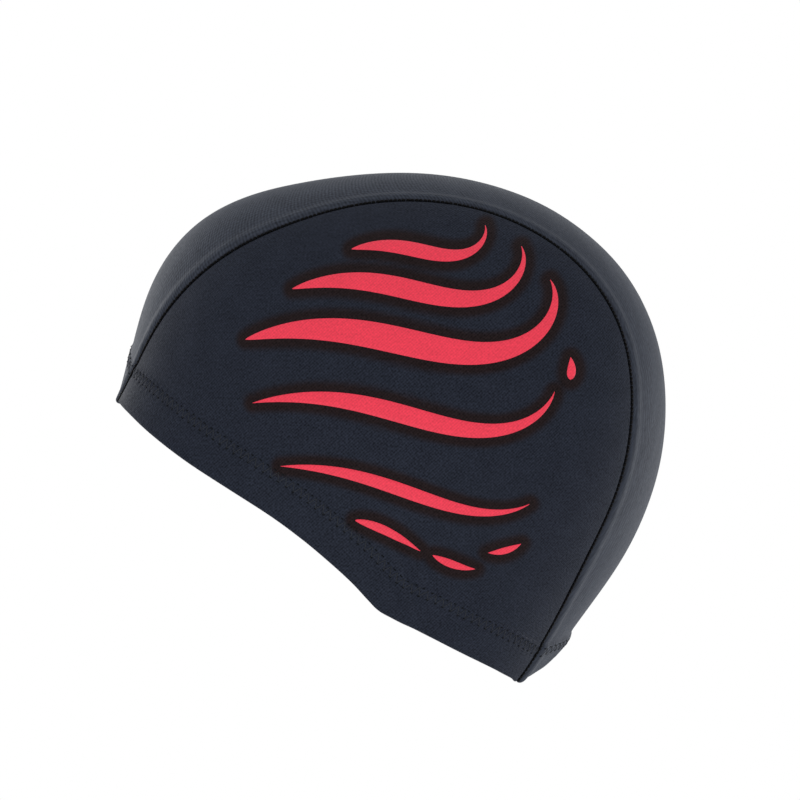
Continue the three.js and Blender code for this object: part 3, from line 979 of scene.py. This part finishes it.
def ink_ribbons(name, sizes, panel):
    """The print's ribbons, each a low closed plate that follows the knit."""
    lift = (PLATE_LIFTS * sizes.ink)[:, None]
    weave = Weave()
    for row in RIBBONS:
        back, up, heading, half = (v[:, None] for v in ribbon(row, 16 + int(row["length"])))
        y = back - np.sin(heading) * half * PLATE_ACROSS
        z = EAR[2] + up + np.cos(heading) * half * PLATE_ACROSS
        form = on_side(np.stack([y, y, z], axis=-1))
        weave.tube(panel.top(form, 0, math.inf) + unit(slope(form)) * lift, panel.flat.at(form))
    return weave.build(name)


def film_share(sizes, p):
    """How much of the dark film lies at each point: all of it by the ink, none past the halo."""
    nearest = np.full(len(p), math.inf)
    for row in RIBBONS:
        back, up, _, half = ribbon(row, 12 + int(row["length"] / 3))
        away = np.hypot(p[:, 1, None] - back, p[:, 2, None] - EAR[2] - up) - half
        nearest = np.minimum(nearest, away.min(axis=1))
    return 1 - ramp(nearest, FILM_WHOLE * sizes.halo, sizes.halo)


def under_band(sizes, stitches, length, out, depth):
    """Points under the wrong side of the band, by length along the seam, how far from it as a share
    of the allowance, and depth, with the directions out of the cap."""
    angle = SEAM.angle(length)
    form = form_point(angle, band_half(angle) - out * sizes.allowance)
    lift = np.maximum(band_relief(sizes, stitches, form), 0) + waves(form)
    return inward(form, sizes.cloth + depth - lift), unit(slope(form))


def seam_allowance(name, sizes, stitches, side):
    """The two cut edges of a seam, laid under the band as one strip with a grooved edge."""
    over = ALLOWANCE_HALF[:0:-1] * (1, -1) + (0, 1)
    out, down = np.concatenate([ALLOWANCE_HALF, ALLOWANCE_GROOVE, over]).T
    stop = TURN_IN + ALLOWANCE_STOP
    length = np.linspace(stop, SEAM.total - stop, ALLOWANCE_SAMPLES)[:, None]
    depth = ALLOWANCE_GAP + down * ALLOWANCE_LAYERS * sizes.cloth
    knit = np.stack(np.broadcast_arrays(length, np.arange(len(out)) * MM), axis=-1)
    weave = Weave()
    weave.tube(under_band(sizes, stitches, length, out, depth)[0], knit)
    return weave.build(name, side)


def add_node(tree, kind, settings=None, *ordered, **named):
    """Adds a shader node. Its inputs get values, or the outputs that feed them, in order or by
    name."""
    node = tree.nodes.new("ShaderNode" + kind)
    for key, value in (settings or {}).items():
        setattr(node, key, value)
    inputs = dict(enumerate(ordered)) | {key.replace("_", " "): value for key, value in named.items()}
    for key, value in inputs.items():
        if isinstance(value, bpy.types.NodeSocket):
            tree.links.new(value, node.inputs[key])
        else:
            node.inputs[key].default_value = value
    return node


def new_material(name):
    """An empty material and its tree."""
    material = bpy.data.materials.new(name)
    material.use_nodes = True
    material.node_tree.nodes.clear()
    return material, material.node_tree


def surface(tree, **sockets):
    shader = add_node(tree, "BsdfPrincipled", **sockets)
    add_node(tree, "OutputMaterial", Surface=shader.outputs["BSDF"])


def opaque(colour):
    return (*colour, 1)


def wave_scale(pitch):
    """Scale of a wave texture whose bands are a pitch apart."""
    return math.pi / 10 / pitch


def knit_height(tree, rib_pitch, loop_pitch, slant, ribs, loops, fuzz):
    """Height of warp knit from close by, and the inputs that map it from its lowest to its highest:
    slanting ribs, broken up into loops, with fuzz and slow blotches."""
    flat = add_node(tree, "UVMap", {"uv_map": "knit"}).outputs["UV"]
    turned = add_node(tree, "Mapping", Vector=flat, Rotation=(0, 0, slant)).outputs["Vector"]
    parts = []
    rows = ("X", rib_pitch, RIB_WANDER, ribs), ("Y", loop_pitch, LOOP_WANDER, loops)
    for direction, pitch, wander, weight in rows:
        bands = add_node(
            tree, "TexWave", {"bands_direction": direction}, Vector=turned, Scale=wave_scale(pitch),
            Distortion=wander, Detail=2.0, Detail_Scale=1.0,
        )
        parts.append((bands, weight))
    for grain, weight in ((FUZZ_GRAIN, fuzz), (BLOTCH_GRAIN, BLOTCH)):
        parts.append((add_node(tree, "TexNoise", Vector=flat, Scale=1 / grain, Detail=2.0), weight))
    height, adding = 0, {"operation": "MULTIPLY_ADD"}
    for texture, weight in parts:
        height = add_node(tree, "Math", adding, texture.outputs["Fac"], weight, height).outputs[0]
    middle = (ribs + loops + fuzz + BLOTCH) / 2
    return height, {"Value": height, "From_Min": middle - KNIT_SWING, "From_Max": middle + KNIT_SWING}


def knit_cloth(name, colour, knit, nap=0.01, film=None):
    """Polyester warp knit with elastane, dull satin. Ribs and fuzz a few pixels wide give the soft
    grain, the low gloss keeps it dark from the front, and the fine nap lights it where it turns
    away. A printed one is tinted where the dark film soaked in."""
    material, tree = new_material(name)
    height, rise = knit_height(tree, **knit)
    tone = colour
    if film:
        share = add_node(tree, "Attribute", {"attribute_name": "film"}).outputs["Fac"]
        mix = add_node(tree, "MixRGB", Fac=share, Color1=opaque(colour), Color2=opaque(film))
        tone = mix.outputs["Color"]
    shade = add_node(tree, "MapRange", **rise, To_Min=0.4, To_Max=1.6).outputs["Result"]
    shaded = add_node(tree, "VectorMath", {"operation": "SCALE"}, Vector=tone, Scale=shade)
    gloss = add_node(tree, "MapRange", **rise, To_Min=0.75, To_Max=0.5)
    bump = add_node(tree, "Bump", Strength=0.5, Distance=0.12 * MM, Height=height)
    surface(
        tree, Base_Color=shaded.outputs["Vector"], Roughness=gloss.outputs["Result"],
        Specular_IOR_Level=0.05, Sheen_Weight=nap, Sheen_Roughness=0.45,
        Sheen_Tint=(0.82, 0.88, 1, 1), Normal=bump.outputs["Normal"],
    )
    return material


def spun_thread(name, colour, diameter):
    """Twisted polyester sewing thread, near matt. The slanting twist breaks up its highlight."""
    material, tree = new_material(name)
    flat = add_node(tree, "UVMap", {"uv_map": "knit"}).outputs["UV"]
    slant = (0, 0, math.radians(40))
    turned = add_node(tree, "Mapping", Vector=flat, Rotation=slant).outputs["Vector"]
    twist = add_node(tree, "TexWave", Vector=turned, Scale=wave_scale(0.7 * diameter)).outputs["Fac"]
    bump = add_node(tree, "Bump", Strength=0.6, Distance=0.15 * diameter, Height=twist)
    surface(
        tree, Base_Color=opaque(colour), Roughness=0.55, Specular_IOR_Level=0.05,
        Normal=bump.outputs["Normal"],
    )
    return material


def screen_printed_plastisol(name, colour, knit):
    """Plastisol ink, screen-printed and cured, soft satin. The knit shows through and mottles it."""
    material, tree = new_material(name)
    height, rise = knit_height(tree, **knit)
    shade = add_node(tree, "MapRange", **rise, To_Min=0.78, To_Max=1.2).outputs["Result"]
    shaded = add_node(tree, "VectorMath", {"operation": "SCALE"}, Vector=colour, Scale=shade)
    bump = add_node(tree, "Bump", Strength=0.35, Distance=0.1 * MM, Height=height)
    surface(
        tree, Base_Color=shaded.outputs["Vector"], Roughness=0.5, Specular_IOR_Level=0.25,
        Normal=bump.outputs["Normal"],
    )
    return material


def backdrop_paper(name, colour):
    """Matt white paper, so that the picture's ground stays an even white."""
    material, tree = new_material(name)
    surface(tree, Base_Color=opaque(colour), Roughness=0.9, Specular_IOR_Level=0.0)
    return material


def fit(piece, slot, material, *nodes):
    """Gives a piece its material and fixes it to the cap, for the solids it stands for."""
    piece.data.materials.append(material)
    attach(piece, BODY)
    if nodes:
        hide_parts(*nodes)


def cut_area(piece):
    """Flat area of a piece's cloth before it was stretched."""
    return sum(face.area for face in piece.data.polygons) / 2 / STRETCH**2


class CAP_OT_side_panels(bpy.types.Operator):
    """Knits the two side panels, with the hem turned in along the rim"""

    bl_idname = "cap.side_panels"
    bl_label = "Side panels"

    def execute(self, context):
        scene = context.scene
        colours = scene.cap_colours
        panel = SidePanel(scene.cap_cloth, scene.cap_stitches)
        plain = knit_cloth("warp_knit_panel", colours.panel, PANEL_KNIT)
        printed = knit_cloth("warp_knit_printed_panel", colours.panel, PANEL_KNIT, film=colours.film)
        for tag, side in SIDES:
            piece = panel.build(tag + "_panel_cloth", side)
            if side == LEFT:
                film = piece.data.attributes.new("film", "FLOAT", "POINT")
                points = np.array([v.co for v in piece.data.vertices[: panel.right_count]])
                shares = np.zeros(len(piece.data.vertices))
                shares[: panel.right_count] = film_share(scene.cap_print, points)
                film.data.foreach_set("value", shares)
            fit(piece, "panel_knit", printed if side == LEFT else plain, tag + "_panel", "rim_hem")
            cut_area(piece)
        return {"FINISHED"}


class CAP_OT_crown_band(bpy.types.Operator):
    """Knits the crown band, with the hem turned in at forehead and nape"""

    bl_idname = "cap.crown_band"
    bl_label = "Crown band"

    def execute(self, context):
        scene = context.scene
        piece = CrownBand(scene.cap_cloth, scene.cap_stitches).build("crown_band_cloth")
        # The band's knit takes a lighter colour than the panels': painted light for the light and sheen
        # it catches
        knit = knit_cloth("warp_knit_band_painted_lighter", scene.cap_colours.band, BAND_KNIT, nap=0.06)
        fit(piece, "band_knit", knit, "crown_band", "rim_hem")
        cut_area(piece)
        return {"FINISHED"}


class CAP_OT_allowances(bpy.types.Operator):
    """Lays the cut edges of both seams under the band, with their overlock thread"""

    bl_idname = "cap.allowances"
    bl_label = "Seam allowances"

    def execute(self, context):
        scene = context.scene
        sizes, stitches = scene.cap_cloth, scene.cap_stitches
        knit = knit_cloth("warp_knit_allowance", scene.cap_colours.allowance, BAND_KNIT)
        yarn = spun_thread("spun_overlock_thread", scene.cap_colours.looper, stitches.looper)
        along, out = zigzag(SEAM.total, OVERLOCK_PITCH, OVERLOCK_ROWS)
        stop = TURN_IN + OVERLOCK_STOP
        shown = (along > stop) & (along < SEAM.total - stop)
        depth = ALLOWANCE_LAYERS * sizes.cloth + OVERLOCK_GAP + stitches.looper / 2
        path, up = under_band(sizes, stitches, along[shown], out[shown], depth)
        for tag, side in SIDES:
            piece = seam_allowance(tag + "_allowance", sizes, stitches, side)
            fit(piece, "seam_knit", knit, tag + "_seam")
            overlock = threads(tag + "_overlock", [path], [up], stitches.looper, side, 5)
            fit(overlock, "stitch_thread", yarn)
        return {"FINISHED"}


class CAP_OT_seam_stitches(bpy.types.Operator):
    """Sews the stitches that show in the grooves of both seams, thick and near black, so that they also
    paint in the grooves' shadow
    """

    bl_idname = "cap.seam_stitches"
    bl_label = "Seam stitches"

    def execute(self, context):
        scene = context.scene
        stitches = scene.cap_stitches
        # The thick black seam thread is partly real thread and partly painted shade of the groove
        yarn = spun_thread("spun_seam_thread_painted_shade", scene.cap_colours.thread, stitches.seam_thread_and_shade)
        along = dashes(SEAM.total, stitches.seam_pitch, SEAM_SHARE)
        form = SEAM.at(along)
        over_hem = jog(scene.cap_cloth.panel_jog, np.minimum(along, SEAM.total - along))
        path = inward(form, SEAM_DEPTHS - over_hem)
        for tag, side in SIDES:
            piece = threads(tag + "_seam_stitches_painted_shade", path, unit(slope(form)), stitches.seam_thread_and_shade, side)
            fit(piece, "stitch_thread", yarn)
        return {"FINISHED"}


class HemStretch:
    """A stretch of hem to sew: the side's from seam to seam, or the band's at one end."""

    def __init__(self, scene, name, seam=None):
        self.sizes, self.stitches = scene.cap_cloth, scene.cap_stitches
        self.name, self.side, self.nape = name, seam is None, seam == NAPE_SEAM_ANGLE
        self.total = RIM_LENGTH if self.side else 2 * band_half(seam)
        self.cloth = (SidePanel if self.side else CrownBand)(self.sizes, self.stitches)

    def form(self, along, height):
        if self.side:
            hem = SideHem(along.ravel())
            return hem.at(height.reshape(1, -1), np.arange(along.size)).reshape(*along.shape, 3)
        return band_place(along - self.total / 2, height, self.nape)

    def place(self, along, height):
        """Points of the form by length along the stretch and height over the rim as it rises, with
        the relief and lift of the cloth over them."""
        if not self.side:
            height = height + forehead_rise(self.sizes, along - self.total / 2, self.nape)
        form = self.form(along, height)
        return form, *self.cloth.relief(form, along if self.side else self.nape, height)

    def outside(self, along, height, lift):
        """Paths on the outer face, lifted off it a little, and the directions out of it."""
        form, relief, stands_out = self.place(along, height)
        top = inward(form, -relief - stands_out)
        return inward(top, -lift + 0 * along), unit(slope(form))

    def inside(self, along, height, lift):
        """Paths on the turned-in cloth, and the directions out of the cap."""
        form, _, stands_out = self.place(along, height)
        depth = 2 * self.sizes.cloth + self.sizes.hem_gap + lift
        return inward(form, depth - stands_out), unit(slope(form))

    def sew(self, name, paths, diameter, yarn):
        for tag, side in SIDES if self.side else ((self.name, LEFT),):
            fit(threads(f"{tag}_{name}", *paths, diameter, side), "stitch_thread", yarn)


class CAP_OT_hem_stitches(bpy.types.Operator):
    """Sews the hem: two needle rows, the fine cover thread and the looper over the cut edge"""

    bl_idname = "cap.hem_stitches"
    bl_label = "Hem stitches"

    def execute(self, context):
        scene = context.scene
        stitches, colours = scene.cap_stitches, scene.cap_colours
        needle = spun_thread("spun_needle_thread", colours.needle, stitches.needle_thread)
        cover = spun_thread("spun_cover_thread", colours.cover, stitches.looper)
        looper = spun_thread("spun_looper_thread", colours.looper, stitches.looper)
        chance = np.random.default_rng(11)
        for name, seam in (("side", None), ("front", FRONT_SEAM_ANGLE), ("nape", NAPE_SEAM_ANGLE)):
            hem = HemStretch(scene, name, seam)
            along = np.tile(dashes(hem.total, stitches.needle_pitch, NEEDLE_SHARE), (2, 1))
            rows = np.repeat(NEEDLE_ROWS, len(along) // 2)[:, None]
            height = rows + chance.uniform(-ROW_SPREAD, ROW_SPREAD, rows.shape) + 0 * along
            paths = hem.outside(along, height, NEEDLE_LIFTS)
            hem.sew("hem_stitches", paths, stitches.needle_thread, needle)
            along, height = (v[None] for v in zigzag(hem.total, stitches.needle_pitch, NEEDLE_ROWS))
            hem.sew("hem_cover", hem.outside(along, height, COVER_LIFT), stitches.looper, cover)
            over_edge = (NEEDLE_ROWS[0], TURN_IN + LOOPER_PAST)
            along, height = (v[None] for v in zigzag(hem.total, stitches.needle_pitch / 2, over_edge))
            paths = hem.inside(along, height, stitches.looper / 2)
            hem.sew("hem_looper", paths, stitches.looper, looper)
        return {"FINISHED"}


class CAP_OT_print(bpy.types.Operator):
    """Prints the ribbons on the left side panel"""

    bl_idname = "cap.print"
    bl_label = "Print"

    def execute(self, context):
        scene = context.scene
        panel = SidePanel(scene.cap_cloth, scene.cap_stitches)
        ink = screen_printed_plastisol("plastisol_ink", scene.cap_colours.ink, PANEL_KNIT)
        fit(ink_ribbons("print", scene.cap_print, panel), "print_ink", ink)
        return {"FINISHED"}


class CAP_OT_studio(bpy.types.Operator):
    """Sets up the white studio: floor, light all round, three soft lamps and the camera"""

    bl_idname = "cap.studio"
    bl_label = "Studio"

    def execute(self, context):
        scene = context.scene
        white = scene.cap_colours.studio
        bpy.ops.mesh.primitive_plane_add(size=FLOOR_SIZE, location=(0, 0, FLOOR_LEVEL))
        floor = context.object
        floor.name = "studio_floor"
        floor.data.materials.append(backdrop_paper("backdrop_paper", white))

        world = bpy.data.worlds.new("studio")
        world.use_nodes = True
        sky = world.node_tree.nodes["Background"]
        sky.inputs["Color"].default_value = opaque(white)
        sky.inputs["Strength"].default_value = 1
        scene.world = world

        for name, place, aim, width, power in SOFTBOXES:
            lamp = bpy.data.lights.new(name, "AREA")
            lamp.size = width
            lamp.energy = power
            self.put(scene, name, lamp, Vector(place), Vector(aim))

        camera = bpy.data.cameras.new("camera")
        camera.lens = CAMERA_LENS
        azimuth, elevation = (math.radians(turn) for turn in CAMERA_TURN)
        back = Vector(
            (
                math.sin(azimuth) * math.cos(elevation),
                -math.cos(azimuth) * math.cos(elevation),
                math.sin(elevation),
            )
        )
        right = Vector((math.cos(azimuth), math.sin(azimuth), 0))
        ear = Vector(EAR)
        aim = ear + right * CAMERA_SHIFT[0] + back.cross(right) * CAMERA_SHIFT[1]
        scene.camera = self.put(scene, "camera", camera, ear + back * CAMERA_DISTANCE, aim)
        scene.view_settings.view_transform = "Standard"
        return {"FINISHED"}

    @staticmethod
    def put(scene, name, data, place, aim):
        thing = bpy.data.objects.new(name, data)
        scene.collection.objects.link(thing)
        thing.location = place
        thing.rotation_euler = (aim - place).to_track_quat("-Z", "Y").to_euler()
        return thing


STEPS = (
    CAP_OT_side_panels,
    CAP_OT_crown_band,
    CAP_OT_allowances,
    CAP_OT_seam_stitches,
    CAP_OT_hem_stitches,
    CAP_OT_print,
    CAP_OT_studio,
)


class CAP_PT_pieces(bpy.types.Panel):
    """Lists the cap's pieces in the order that they are made"""

    bl_idname = "CAP_PT_pieces"
    bl_label = "Swim Cap"
    bl_space_type = "VIEW_3D"
    bl_region_type = "UI"
    bl_category = "Swim Cap"

    def draw(self, context):
        for step in STEPS:
            self.layout.operator(step.bl_idname)


SETTINGS = {
    "cap_cloth": ClothSizes,
    "cap_stitches": StitchSizes,
    "cap_print": PrintSizes,
    "cap_colours": Colours,
}


def register():
    for kind in (*SETTINGS.values(), *STEPS, CAP_PT_pieces):
        bpy.utils.register_class(kind)
    for key, group in SETTINGS.items():
        setattr(bpy.types.Scene, key, PointerProperty(type=group))


def unregister():
    for key in SETTINGS:
        delattr(bpy.types.Scene, key)
    for kind in (CAP_PT_pieces, *reversed(STEPS), *SETTINGS.values()):
        bpy.utils.unregister_class(kind)


def main():
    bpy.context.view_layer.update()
    register()
    bpy.ops.cap.side_panels()
    bpy.ops.cap.crown_band()
    bpy.ops.cap.allowances()
    bpy.ops.cap.seam_stitches()
    bpy.ops.cap.hem_stitches()
    bpy.ops.cap.print()
    bpy.ops.cap.studio()


if __name__ == "__main__":
    main()
